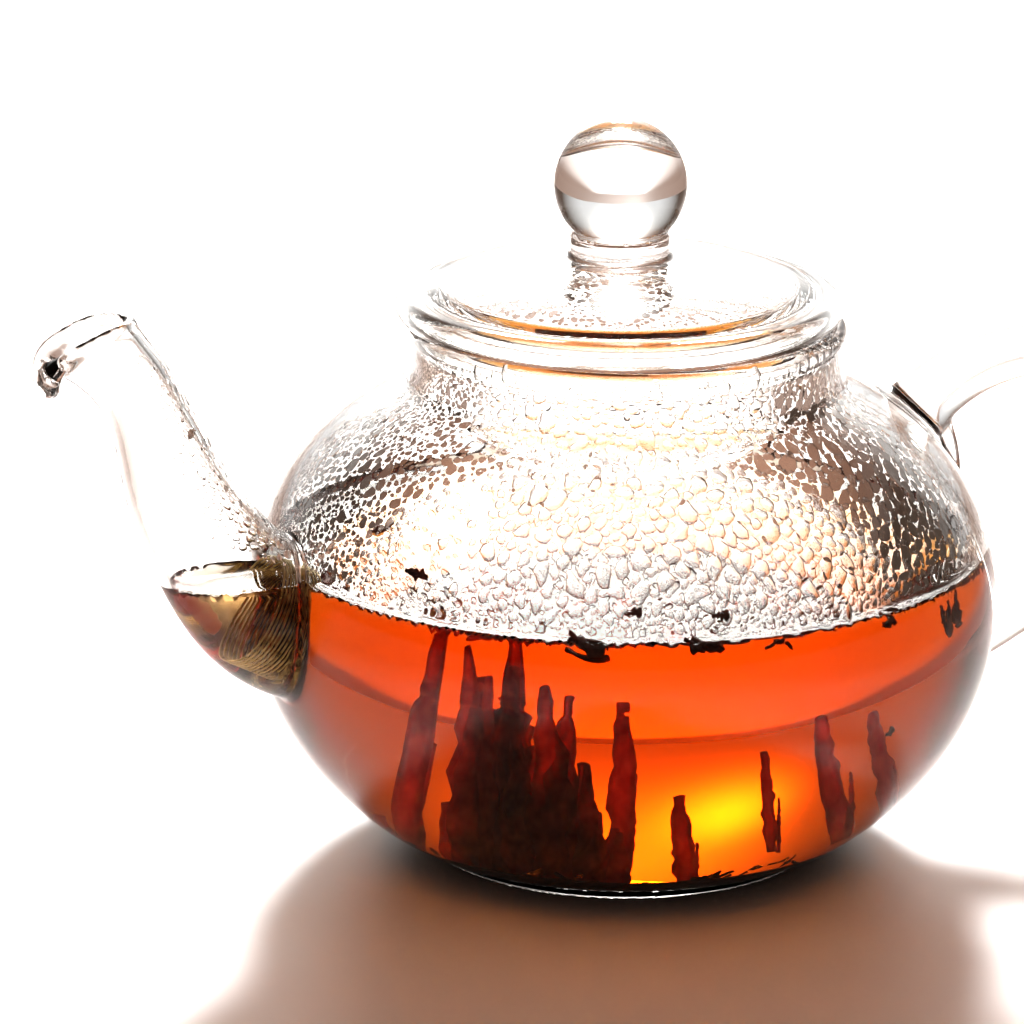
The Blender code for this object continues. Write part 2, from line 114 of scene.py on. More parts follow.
def soft_min(a, b, reach):
    """The smaller of two distances, with a fillet where they are within reach of each other."""
    near = np.clip(1 - np.abs(a - b) / reach, 0, None)
    return np.minimum(a, b) - near ** 3 * reach / 6


def soft_max(a, b, reach):
    return -soft_min(-a, -b, reach)


def near_box(x, y, z, low, high):
    return ((x > low[0]) & (x < high[0]) & (y > low[1]) & (y < high[1])
            & (z > low[2]) & (z < high[2]))


def only_near(field, low, high):
    """A distance function that is worked out only inside a box, and is large elsewhere."""
    def bounded(x, y, z):
        out = np.full(np.shape(x), 50.0)
        inside = near_box(x, y, z, low, high)
        if inside.any():
            out[inside] = field(x[inside], y[inside], z[inside])
        return out
    return bounded


def path_distance(points, closed=False, samples=160):
    """Distance to a round rod along points of (x, z, radius) or (x, y, z, radius)."""
    rows = np.asarray(points, float)
    if rows.shape[1] == 3:
        rows = np.column_stack([rows[:, 0], np.zeros(len(rows)), rows[:, 1], rows[:, 2]])
    dense = rows if closed else Spline(rows)(np.linspace(0, 1, samples))
    start = dense
    end = np.roll(dense, -1, axis=0)
    if not closed:
        start, end = dense[:-1], dense[1:]

    def field(x, y, z):
        p = np.stack([x, y, z], -1).reshape(-1, 3)
        best = np.full(len(p), 1e9)
        for a, b in zip(start, end):
            run = b[:3] - a[:3]
            share = np.clip((p - a[:3]) @ run / (run @ run), 0, 1)
            gap = np.linalg.norm(p - a[:3] - share[:, None] * run, axis=1)
            best = np.minimum(best, gap - (a[3] + share * (b[3] - a[3])))
        return best.reshape(np.shape(x))
    return field


# ---------------------------------------------------------------- the body's distance table
def body_radius(z):
    """Outside radius of the blown body at heights above its base fillet."""
    low = BODY_RADIUS * np.sqrt(np.clip(1 - ((WIDEST - z) / 55.6) ** 2, 0, 1))
    rise = np.clip((z - WIDEST) / 48.7, 0, 1)
    shoulder = BODY_RADIUS * (1 - rise ** 2.25) ** (1 / 2.25)
    high = 0.5 * (shoulder + NECK_RADIUS + np.hypot(shoulder - NECK_RADIUS, 3.0))
    return np.where(z < WIDEST, low, high)


def body_profile():
    turn = np.radians(np.linspace(-90, -57, 12))
    fillet = np.column_stack([36.3 + 16.4 * np.cos(turn), 18.5 + 16.4 * np.sin(turn)])
    z = np.concatenate([np.arange(6.2, 97.0, 0.35), [104.0, 150.0]])
    return np.vstack([[(0.0, FLOOR)], fillet, np.column_stack([body_radius(z), z])])


PROFILE = body_profile()
TABLE_STEP = 0.25
TABLE_LOW = (0.0, -8.0)


def body_table():
    """Signed distance to the body's profile on a fine grid of radius and height."""
    r = np.arange(TABLE_LOW[0], 96, TABLE_STEP)
    z = np.arange(TABLE_LOW[1], 122, TABLE_STEP)
    rr, zz = np.meshgrid(r, z, indexing="ij")
    best = np.full(rr.shape, 1e9)
    for a, b in zip(PROFILE[:-1], PROFILE[1:]):
        run = b - a
        share = np.clip(((rr - a[0]) * run[0] + (zz - a[1]) * run[1]) / (run @ run), 0, 1)
        best = np.minimum(best, (rr - a[0] - share * run[0]) ** 2
                          + (zz - a[1] - share * run[1]) ** 2)
    inside = (rr < np.interp(zz, PROFILE[1:, 1], PROFILE[1:, 0])) & (zz > FLOOR)
    return np.sqrt(best) * np.where(inside, -1, 1)


BODY = body_table()


def body_distance(x, y, z):
    i = np.clip((np.hypot(x, y) - TABLE_LOW[0]) / TABLE_STEP, 0, BODY.shape[0] - 1.001)
    k = np.clip((z - TABLE_LOW[1]) / TABLE_STEP, 0, BODY.shape[1] - 1.001)
    i0, k0 = i.astype(int), k.astype(int)
    u, v = i - i0, k - k0
    return ((1 - u) * ((1 - v) * BODY[i0, k0] + v * BODY[i0, k0 + 1])
            + u * ((1 - v) * BODY[i0 + 1, k0] + v * BODY[i0 + 1, k0 + 1]))


# ---------------------------------------------------------------- spout
STATIONS = Spline(SPOUT_STATIONS)
SPOUT_SAMPLES = np.linspace(0, 1, 90)


def station_plane(t):
    """Centre, long direction and normal of the spout's ring at t, all in the XZ plane."""
    row = STATIONS(t)
    turn = np.radians(row[..., 2])
    return (row[..., 0], row[..., 1], np.cos(turn), np.sin(turn), -np.sin(turn), np.cos(turn),
            row[..., 3], row[..., 4])


def ahead_of(t, x, z):
    cx, cz, _, _, nx, nz, _, _ = station_plane(t)
    return (x - cx) * nx + (z - cz) * nz


def spout_place(x, z):
    """The ring that a point lies on: t, distance along its long axis and past the end."""
    flat_x, flat_z = x.ravel(), z.ravel()
    t = np.zeros(flat_x.shape)
    best = np.full(flat_x.shape, 1e9)
    before = ahead_of(SPOUT_SAMPLES[0], flat_x, flat_z)
    for low, high in zip(SPOUT_SAMPLES[:-1], SPOUT_SAMPLES[1:]):
        after = ahead_of(high, flat_x, flat_z)
        crossing = (before >= 0) & (after < 0)
        share = np.where(crossing, before / np.where(crossing, before - after, 1), 0)
        cx, cz = STATIONS(np.array(0.5 * (low + high)))[:2]
        away = np.hypot(flat_x - cx, flat_z - cz)
        better = crossing & (away < best)
        t = np.where(better, low + share * (high - low), t)
        best = np.where(better, away, best)
        before = after
    t = np.where((best > 1e8) & (before >= 0), 1.0, t)
    for _ in range(2):
        nudge = 1e-4
        gap = ahead_of(t, flat_x, flat_z)
        slope = (ahead_of(np.minimum(t + nudge, 1), flat_x, flat_z) - gap) / nudge
        step = np.where(np.abs(slope) > 1, -gap / np.where(np.abs(slope) > 1, slope, 1), 0)
        moving = (t > 0) & (t < 0.999)
        t = np.where(moving, np.clip(t + np.clip(step, -0.02, 0.02), 0, 1), t)
    return t.reshape(x.shape)


def tube_distance(x, y, z, shrink):
    """Distance to the spout's tube, and how far a point is past its mouth."""
    t = spout_place(x, z)
    cx, cz, ax, az, nx, nz, half_long, half_wide = station_plane(t)
    along = (x - cx) * ax + (z - cz) * az
    past = (x - cx) * nx + (z - cz) * nz
    a, b = half_long - shrink, half_wide - shrink
    size = np.sqrt((along / a) ** 2 + (y / b) ** 2) + 1e-9
    slope = np.sqrt((along / a ** 2) ** 2 + (y / b ** 2) ** 2) + 1e-9
    arch = MOUTH_ARCH * (1 - np.clip(along / half_long, -1, 1) ** 2)
    return size * (size - 1) / slope, np.where(t > 0.999, past - arch, -5.0), t, past


def spout_outside(x, y, z):
    tube, beyond, t, past = tube_distance(x, y, z, 0.0)
    behind = np.where(t < 0.001, -past, -5.0)
    return np.maximum(np.maximum(tube, beyond), behind)


def spout_bore(x, y, z):
    tube, _, t, past = tube_distance(x, y, z, SPOUT_WALL)
    behind = np.where(t < 0.001, -past, -5.0)
    return np.maximum(tube, behind)


def lip_ring(share, count=120):
    """The bead round the arched mouth. At share 1 it curls right over at the pouring tip."""
    x, z, tilt, half_long, half_wide = SPOUT_STATIONS[-1]
    turn = math.radians(tilt)
    along = np.array([math.cos(turn), 0, math.sin(turn)])
    normal = np.array([-math.sin(turn), 0, math.cos(turn)])
    rows = []
    for i in range(count):
        angle = math.tau * i / count
        outward = along * math.cos(angle) + np.array([0, math.sin(angle), 0])
        edge = np.array([x, 0, z]) + along * (half_long - 0.9) * math.cos(angle)
        edge = edge + normal * MOUTH_ARCH * math.sin(angle) ** 2
        edge[1] = (half_wide - 0.9) * math.sin(angle)
        tip = ((1 - math.cos(angle)) / 2) ** 5
        bead = 0.85 + (0.45 + 0.5 * share) * tip
        curl = math.radians(140 * tip * share)
        reach = 0.35 * bead + tip * share * 3.1
        centre = edge + (normal * math.cos(curl) + outward * math.sin(curl)) * reach
        rows.append((*centre, bead))
    return rows


LIP_BEADS = [path_distance(lip_ring(share), closed=True) for share in (0.35, 0.7, 1.0)]
HOLE_POINTS = np.array([(-57.0, 48.0, 10.2), (-63.0, 50.4, 10.2), (-71.0, 53.6, 10.2)])


def nearest_bead(x, y, z):
    return np.minimum.reduce([bead(x, y, z) for bead in LIP_BEADS])


# ---------------------------------------------------------------- the pot's glass and its hollow
spout_outer = only_near(spout_outside, (-120, -22, 25), (-45, 22, 116))
spout_inner = only_near(spout_bore, (-120, -22, 25), (-45, 22, 120))
spout_lip = only_near(nearest_bead, (-120, -14, 90), (-88, 14, 116))
spout_hole = only_near(path_distance(HOLE_POINTS), (-86, -14, 30), (-42, 14, 70))
handle_rod = only_near(path_distance(HANDLE_POINTS), (45, -16, 18), (116, 16, 100))
handle_tail = only_near(path_distance(TAIL_POINTS, samples=40), (50, -12, 55), (80, 12, 90))


def cavity(x, y, z):
    """The hollow of the body and the bore of the spout, joined by a hole in the body's wall."""
    body = body_distance(x, y, z)
    hollow = soft_min(body + WALL, soft_max(spout_inner(x, y, z), 0.2 - body, 0.8), 0.8)
    return soft_min(hollow, spout_hole(x, y, z), 1.0)


def foot(x, y, z):
    out = np.hypot(x, y) - FOOT_RADIUS
    up = np.abs(z - FOOT_EDGE)
    return np.hypot(np.maximum(out, 0), up) - FOOT_EDGE


def pot_glass(x, y, z):
    outer = soft_min(body_distance(x, y, z), foot(x, y, z), 2.0)
    outer = np.maximum(outer, z - 99.3)
    outer = soft_min(outer, spout_outer(x, y, z), 1.2)
    outer = soft_min(outer, soft_min(handle_rod(x, y, z), handle_tail(x, y, z), 3.0), 6.0)
    shell = np.maximum(outer, -cavity(x, y, z))
    rim = np.hypot(np.hypot(x, y) - 38.9, z - 99.7) - 2.0
    shell = soft_min(shell, rim, 1.5)
    return soft_min(shell, spout_lip(x, y, z), 2.0)


def tea_volume(x, y, z):
    """The tea: it fills the hollow up to its level and climbs a little where it wets the glass."""
    hollow = cavity(x, y, z)
    climb = 1.7 * np.exp(np.clip(hollow, -30, TEA_OVERLAP) / 2.0)
    return soft_max(hollow - TEA_OVERLAP, z - TEA_LEVEL - climb, 0.3)


# ---------------------------------------------------------------- the lid's glass
def dome_height(r):
    share = np.clip(r - LID_FLAT, 0, None) / LID_SPAN
    return LID_TOP - LID_FALL * share ** 2


def dome_slope(r):
    return LID_FALL * 2 * np.clip(r - LID_FLAT, 0, None) / LID_SPAN ** 2


def lid_glass(x, y, z):
    r = np.hypot(x - LID_X, y)
    top = (z - dome_height(r)) / np.sqrt(1 + dome_slope(r) ** 2)
    dome = np.maximum(np.maximum(top, -top - LID_WALL), r - LID_RADIUS)
    edge = np.hypot(r - LID_RADIUS, z - 104.3) - 2.3
    dome = soft_min(dome, edge, 2.5)
    skirt = np.hypot(r - 33.5, np.maximum(np.abs(z - 101.2) - 5.2, 0)) - 0.75
    dome = soft_min(dome, skirt, 0.6)
    waist = np.hypot(np.maximum(r - 8.3, 0), np.maximum(np.abs(z - 115.2) - 2.4, 0)) - 0.9
    ball = np.sqrt(r ** 2 + (z - 127.3) ** 2) - 12.4
    return soft_min(soft_min(dome, waist, 1.8), ball, 0.5)


# ---------------------------------------------------------------- from a distance function to a mesh
CORNERS = np.array([(i, j, k) for i in (0, 1) for j in (0, 1) for k in (0, 1)])
EDGES = [(a, b) for a in range(8) for b in range(a + 1, 8)
         if np.abs(CORNERS[a] - CORNERS[b]).sum() == 1]


def gradient(field, p, nudge=0.04):
    out = np.empty_like(p)
    for axis in range(3):
        ahead, behind = p.copy(), p.copy()
        ahead[:, axis] += nudge
        behind[:, axis] -= nudge
        out[:, axis] = (field(*ahead.T) - field(*behind.T)) / (2 * nudge)
    return out


def settle(field, p, most):
    """Moves points onto the surface where the field is zero."""
    slope = gradient(field, p)
    steep = np.maximum((slope ** 2).sum(1), 0.05)
    step = -field(*p.T) / steep
    return p + slope * np.clip(step, -most, most)[:, None]


def skin(field, low, high, step, relax=3):
    """Quads round the solid where the field is negative, with their points on its surface."""
    axes = [np.arange(a, b + step, step) for a, b in zip(low, high)]
    x, y, z = np.meshgrid(*axes, indexing="ij")
    values = field(x, y, z)
    del x, y, z
    full = values < 0
    shape = np.array(values.shape) - 1
    count = np.zeros(shape, np.int8)
    for i, j, k in CORNERS:
        count += full[i:i + shape[0], j:j + shape[1], k:k + shape[2]]
    cells = np.argwhere((count > 0) & (count < 8))
    number = np.full(shape, -1)
    number[tuple(cells.T)] = np.arange(len(cells))
    total = np.zeros((len(cells), 3))
    hits = np.zeros(len(cells))
    for a, b in EDGES:
        ca, cb = cells + CORNERS[a], cells + CORNERS[b]
        va, vb = values[tuple(ca.T)], values[tuple(cb.T)]
        crossing = (va < 0) != (vb < 0)
        share = np.where(crossing, va / np.where(crossing, va - vb, 1), 0)[:, None]
        total += np.where(crossing[:, None], ca + share * (cb - ca), 0)
        hits += crossing
    points = total / hits[:, None] * step + np.array([axis[0] for axis in axes])
    quads = []
    for axis in range(3):
        one, two = (axis + 1) % 3, (axis + 2) % 3
        low_cut = [slice(None)] * 3
        low_cut[axis] = slice(0, -1)
        high_cut = [slice(None)] * 3
        high_cut[axis] = slice(1, None)
        change = full[tuple(low_cut)] != full[tuple(high_cut)]
        where = np.argwhere(change)
        where = where[(where[:, one] > 0) & (where[:, two] > 0)
                      & (where[:, one] < shape[one]) & (where[:, two] < shape[two])]
        corners = []
        for back_one, back_two in ((1, 1), (0, 1), (0, 0), (1, 0)):
            cell = where.copy()
            cell[:, one] -= back_one
            cell[:, two] -= back_two
            corners.append(number[tuple(cell.T)])
        quad = np.stack(corners, 1)
        outward = full[tuple(where.T)]
        quad[~outward] = quad[~outward][:, ::-1]
        quads.append(quad)
    quads = np.vstack(quads)
    sides = np.vstack([quads[:, [i, (i + 1) % 4]] for i in range(4)])
    for turn in range(relax):
        if turn:
            sums = np.zeros_like(points)
            near = np.zeros(len(points))
            for a, b in ((0, 1), (1, 0)):
                np.add.at(sums, sides[:, a], points[sides[:, b]])
                np.add.at(near, sides[:, a], 1)
            points += 0.5 * (sums / np.maximum(near, 1)[:, None] - points)
        points = settle(field, points, 0.5 * step)
    for _ in range(2):
        points = settle(field, points, 0.2 * step)
    return points, quads


def mesh_object(name, points, faces, material, scale=0.001):
    """A smooth shaded object from points in millimetres."""
    mesh = bpy.data.meshes.new(name)
    mesh.from_pydata((np.asarray(points) * scale).tolist(), [],
                     faces.tolist() if isinstance(faces, np.ndarray) else faces)
    mesh.materials.append(material)
    mesh.shade_smooth()
    mesh.validate()
    obj = bpy.data.objects.new(name, mesh)
    bpy.context.scene.collection.objects.link(obj)
    return obj


def joined(parts):
    """Puts several (points, faces) pieces together as one."""
    points, faces, base = [], [], 0
    for part_points, part_faces in parts:
        points.append(np.asarray(part_points))
        faces += [[base + i for i in face] for face in part_faces]
        base += len(part_points)
    return np.vstack(points), faces


# ---------------------------------------------------------------- materials
def new_material(name):
    mat = bpy.data.materials.new(name)
    mat.use_nodes = True
    tree = mat.node_tree
    return mat, tree, tree.nodes["Principled BSDF"]


def node(tree, kind, links=None, **values):
    """A node with its inputs set or linked by name, and its own settings by keyword."""
    made = tree.nodes.new(kind)
    for key, value in values.items():
        setattr(made, key, value)
    for key, value in (links or {}).items():
        socket = made.inputs[key]
        if isinstance(value, bpy.types.NodeSocket):
            tree.links.new(value, socket)
        else:
            socket.default_value = value
    return made


def noise(tree, scale, detail):
    """Noise over the object's own coordinates, in features per metre."""
    vector = node(tree, "ShaderNodeTexCoord").outputs["Object"]
    return node(tree, "ShaderNodeTexNoise", {"Vector": vector, "Scale": scale, "Detail": detail})


def ramp(tree, factor, stops):
    made = node(tree, "ShaderNodeValToRGB", {"Fac": factor})
    made.color_ramp.elements[0].position, made.color_ramp.elements[0].color = stops[0]
    made.color_ramp.elements[1].position, made.color_ramp.elements[1].color = stops[-1]
    for position, colour in stops[1:-1]:
        made.color_ramp.elements.new(position).color = colour
    return made


def ranged(tree, value, low, high):
    return node(tree, "ShaderNodeMapRange", {"Value": value, "To Min": low, "To Max": high}).outputs[0]


def bump(tree, height, strength, distance, normal=None):
    links = {"Height": height, "Strength": strength, "Distance": distance}
    if normal is not None:
        links["Normal"] = normal
    return node(tree, "ShaderNodeBump", links).outputs[0]


def clear_glass(name, waves):
    """Polished glass with the faint waves and wiping marks of a blown surface."""
    mat, tree, shader = new_material(name)
    slow = noise(tree, 55, 2)
    marks = noise(tree, 900, 4)
    shader.inputs["Transmission Weight"].default_value = 1.0
    shader.inputs["IOR"].default_value = 1.47
    shader.inputs["Specular Tint"].default_value = (0.5, 0.5, 0.5, 1)
    tint = (0.985, 0.985, 0.975)
    deeper = [c * 0.985 for c in tint]
    colour = ramp(tree, slow.outputs[0], [(0.3, (*deeper, 1)), (0.7, (*tint, 1))])
    tree.links.new(colour.outputs[0], shader.inputs["Base Color"])
    tree.links.new(ranged(tree, marks.outputs[0], 0.0, 0.012), shader.inputs["Roughness"])
    tree.links.new(bump(tree, slow.outputs[0], waves, 0.0006), shader.inputs["Normal"])
    return mat


def water(name):
    """Condensed water: clear drops with slightly uneven skins."""
    mat, tree, shader = new_material(name)
    fine = noise(tree, 700, 2)
    shader.inputs["Transmission Weight"].default_value = 1.0
    shader.inputs["IOR"].default_value = 1.33
    colour = ramp(tree, fine.outputs[0], [(0.2, (0.96, 0.955, 0.95, 1)), (0.8, (1, 1, 1, 1))])
    tree.links.new(colour.outputs[0], shader.inputs["Base Color"])
    tree.links.new(ranged(tree, fine.outputs[0], 0.0, 0.02), shader.inputs["Roughness"])
    tree.links.new(bump(tree, fine.outputs[0], 0.15, 0.0003), shader.inputs["Normal"])
    return mat


def tea_liquid(name):
    """Clear tea: it takes out blue in a centimetre or two and green in several."""
    mat, tree, shader = new_material(name)
    slow = noise(tree, 40, 2)
    shader.inputs["Specular Tint"].default_value = (0.05, 0.05, 0.05, 1)
    shader.inputs["Transmission Weight"].default_value = 1.0
    shader.inputs["IOR"].default_value = 1.33
    colour = ramp(tree, slow.outputs[0], [(0.3, (0.97, 0.96, 0.94, 1)), (0.7, (1, 1, 1, 1))])
    tree.links.new(colour.outputs[0], shader.inputs["Base Color"])
    tree.links.new(ranged(tree, slow.outputs[0], 0.0, 0.01), shader.inputs["Roughness"])
    absorb = node(tree, "ShaderNodeVolumeAbsorption",
                  {"Color": (0.93, 0.63, 0.02, 1), "Density": 66.0})
    tree.links.new(absorb.outputs[0], tree.nodes["Material Output"].inputs["Volume"])
    return mat


def wet_leaf(name, dark, light, thin):
    """Steeped leaf, blotched, with raised veins. Thin is the share that lets light through."""
    mat, tree, shader = new_material(name)
    blotch = noise(tree, 260, 5)
    veins = node(tree, "ShaderNodeTexVoronoi", {"Scale": 900}, feature="DISTANCE_TO_EDGE")
    tree.links.new(node(tree, "ShaderNodeTexCoord").outputs["Object"], veins.inputs["Vector"])
    colour = ramp(tree, blotch.outputs[0], [(0.35, (*dark, 1)), (0.7, (*light, 1))])
    tree.links.new(colour.outputs[0], shader.inputs["Base Color"])
    tree.links.new(ranged(tree, blotch.outputs[0], 0.25, 0.55), shader.inputs["Roughness"])
    crumple = bump(tree, blotch.outputs[0], 0.6, 0.0006)
    tree.links.new(bump(tree, veins.outputs["Distance"], 0.4, 0.0003, crumple),
                   shader.inputs["Normal"])
    through = node(tree, "ShaderNodeBsdfTranslucent", {"Color": colour.outputs[0]})
    mixed = node(tree, "ShaderNodeMixShader", {0: thin, 1: shader.outputs[0], 2: through.outputs[0]})
    tree.links.new(mixed.outputs[0], tree.nodes["Material Output"].inputs["Surface"])
    return mat


def coil_steel(name):
    mat, tree, shader = new_material(name)
    stain = noise(tree, 500, 4)
    shader.inputs["Metallic"].default_value = 1.0
    colour = ramp(tree, stain.outputs[0],
                  [(0.35, (0.26, 0.19, 0.07, 1)), (0.65, (0.52, 0.43, 0.24, 1))])
    tree.links.new(colour.outputs[0], shader.inputs["Base Color"])
    tree.links.new(ranged(tree, stain.outputs[0], 0.18, 0.45), shader.inputs["Roughness"])
    tree.links.new(bump(tree, stain.outputs[0], 0.2, 0.0002), shader.inputs["Normal"])
    return mat


# ---------------------------------------------------------------- camera, floor and light
def in_frame(vector):
    """Turns a vector of the viewer's frame into the model's frame."""
    turn = math.radians(VIEW_DEGREES)
    c, s = math.cos(turn), math.sin(turn)
    return Vector((vector[0] * c + vector[1] * s, vector[1] * c - vector[0] * s, vector[2]))


def add_camera():
    pan, pitch, roll = (math.radians(a) for a in (-1.01, 16.59, 0.50))
    forward = Vector((math.sin(pan) * math.cos(pitch), math.cos(pan) * math.cos(pitch),
                      -math.sin(pitch)))
    flat = Vector((math.cos(pan), -math.sin(pan), 0))
    upright = flat.cross(forward)
    right = flat * math.cos(roll) + upright * math.sin(roll)
    up = upright * math.cos(roll) - flat * math.sin(roll)
    data = bpy.data.cameras.new("view")
    data.lens = 234.2
    data.sensor_width = 36.0
    data.clip_end = 20
    camera = bpy.data.objects.new("view", data)
    axes = Matrix([in_frame(right), in_frame(up), -in_frame(forward)]).transposed().to_4x4()
    camera.matrix_world = Matrix.Translation(in_frame((0, -1.2, 0.421))) @ axes
    bpy.context.scene.collection.objects.link(camera)
    bpy.context.scene.camera = camera


def add_area(name, place, target, size, power, spread):
    data = bpy.data.lights.new(name, "AREA")
    data.spread = math.radians(spread)
    data.shape = "RECTANGLE"
    data.size, data.size_y = size
    data.energy = power
    light = bpy.data.objects.new(name, data)
    place, target = in_frame(place), in_frame(target)
    light.location = place
    light.rotation_euler = (target - place).to_track_quat("-Z", "Y").to_euler()
    bpy.context.scene.collection.objects.link(light)


def add_floor():
    size, steps = 2.5, 24
    points = [((i / steps - 0.5) * 2 * size, (j / steps - 0.5) * 2 * size, 0)
              for i in range(steps + 1) for j in range(steps + 1)]
    faces = [(i * (steps + 1) + j, (i + 1) * (steps + 1) + j,
              (i + 1) * (steps + 1) + j + 1, i * (steps + 1) + j + 1)
             for i in range(steps) for j in range(steps)]
    mat, tree, shader = new_material("white_floor")
    grain = noise(tree, 30, 4)
    colour = ramp(tree, grain.outputs[0],
                  [(0.3, (0.90, 0.895, 0.885, 1)), (0.7, (0.92, 0.915, 0.905, 1))])
    tree.links.new(colour.outputs[0], shader.inputs["Base Color"])
    tree.links.new(ranged(tree, grain.outputs[0], 0.45, 0.6), shader.inputs["Roughness"])
    shader.inputs["Specular IOR Level"].default_value = 0.2
    mesh_object("floor", points, faces, mat, 1.0)


def glow(tree, way, direction, sharpness, strength):
    """A soft round patch of light in one direction of the surroundings."""
    aim = in_frame(direction).normalized()
    dot = node(tree, "ShaderNodeVectorMath", {0: way, 1: aim},
               operation="DOT_PRODUCT").outputs["Value"]
    less = node(tree, "ShaderNodeMath", {0: dot, 1: 1.0}, operation="SUBTRACT").outputs[0]
    fall = node(tree, "ShaderNodeMath", {0: less, 1: sharpness}, operation="MULTIPLY").outputs[0]
    patch = node(tree, "ShaderNodeMath", {0: fall}, operation="EXPONENT").outputs[0]
    return node(tree, "ShaderNodeMath", {0: patch, 1: strength}, operation="MULTIPLY").outputs[0]


def toward(azimuth, elevation):
    """The direction at an azimuth to the right of straight ahead, and an elevation."""
    a, e = math.radians(azimuth), math.radians(elevation)
    return Vector((math.sin(a) * math.cos(e), math.cos(a) * math.cos(e), math.sin(e)))


def add_world():
    """A dim room, bright only straight behind the pot and warm overhead, with three glows."""
    world = bpy.data.worlds.new("studio")
    bpy.context.scene.world = world
    world.use_nodes = True
    tree = world.node_tree
    way = node(tree, "ShaderNodeTexCoord").outputs["Generated"]
    parts = node(tree, "ShaderNodeSeparateXYZ", {"Vector": way})
    sky = ramp(tree, parts.outputs["Z"],
               [(0.0, (0.9, 0.9, 0.9, 1)), (0.35, (0.85, 0.84, 0.82, 1)),
                (0.60, (0.52, 0.29, 0.20, 1)), (1.0, (0.60, 0.34, 0.24, 1))])
    ahead = node(tree, "ShaderNodeVectorMath", {0: way, 1: in_frame((0, 1, 0))},
                 operation="DOT_PRODUCT").outputs["Value"]
    side = ramp(tree, node(tree, "ShaderNodeMapRange", {"Value": ahead, "From Min": -1.0}).outputs[0],
                [(0.35, (0.10, 0.07, 0.055, 1)), (0.82, (0.12, 0.085, 0.065, 1)), (0.955, (1, 1, 1, 1))])
    base = tree.nodes["Background"]
    above = ramp(tree, parts.outputs["Z"], [(0.45, (0, 0, 0, 1)), (0.8, (1, 1, 1, 1))])
    side = node(tree, "ShaderNodeMix", {0: above.outputs[0], 6: side.outputs[0], 7: (1, 1, 1, 1)},
                data_type="RGBA")
    shade = node(tree, "ShaderNodeMix", {0: 1.0, 6: sky.outputs[0], 7: side.outputs[2]},
                 data_type="RGBA", blend_type="MULTIPLY")
    tree.links.new(shade.outputs[2], base.inputs["Color"])
    base.inputs["Strength"].default_value = 1.0
    total = glow(tree, way, toward(-1, 17), 50.0, 6.0)
    for direction, sharpness, strength in ((toward(-9.5, 11), 260.0, 14.0), (toward(0, 31), 40.0, 3.0)):
        patch = glow(tree, way, direction, sharpness, strength)
        total = node(tree, "ShaderNodeMath", {0: total, 1: patch}, operation="ADD").outputs[0]
    light = node(tree, "ShaderNodeBackground", {"Color": (1.0, 0.98, 0.95, 1), "Strength": total})
    both = node(tree, "ShaderNodeAddShader", {0: base.outputs[0], 1: light.outputs[0]})
    tree.links.new(both.outputs[0], tree.nodes["World Output"].inputs["Surface"])


# ---------------------------------------------------------------- the pieces
def add_pot():
    points, quads = skin(pot_glass, (-118, -73, -2.5), (113, 73, 113), STEP)
    pot = mesh_object("pot_glass", points, quads, clear_glass("pot_glass", 0.05))
    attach(pot, "pot")
    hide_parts("vessel", "neck_rim", "foot_disc", "spout", "spout_lip", "handle_rod",
                "handle_upper_root", "handle_lower_root", "handle_tail")


def add_lid():
    points, quads = skin(lid_glass, (-46, -44, 92.5), (43, 44, 142), 0.75 * STEP)
    lid = mesh_object("lid_glass", points, quads, clear_glass("lid_glass", 0.03))
    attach(lid, "lid")
    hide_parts("lid_dome", "lid_skirt", "knob_neck", "knob_ball")


def add_tea():
    points, quads = skin(tea_volume, (-94, -71, 2), (71, 71, 63), STEP)
    tea = mesh_object("brewed_tea", points, quads, tea_liquid("brewed_tea"))
    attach(tea, "pot")
    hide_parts("tea", "tea_in_spout")


# ---------------------------------------------------------------- condensation
def unit(vectors):
    return vectors / np.maximum(np.linalg.norm(vectors, axis=-1, keepdims=True), 1e-9)


def thin_out(places, radii, spacing):
    """Keeps the drops that don't overlap a larger one. Returns their numbers."""
    cell = 4.5          # wider than two of the largest drops' radii
    around = [(i, j, k) for i in (-1, 0, 1) for j in (-1, 0, 1) for k in (-1, 0, 1)]

    def overlap(i, j):
        gap = places[i] - places[j]
        return gap @ gap < (spacing * (radii[i] + radii[j])) ** 2

    taken = {}
    kept = []
    for i in np.argsort(-radii):
        a, b, c = (places[i] // cell).astype(int)
        near = (j for da, db, dc in around for j in taken.get((a + da, b + db, c + dc), ()))
        if not any(overlap(i, j) for j in near):
            taken.setdefault((a, b, c), []).append(i)
            kept.append(i)
    return np.array(kept)


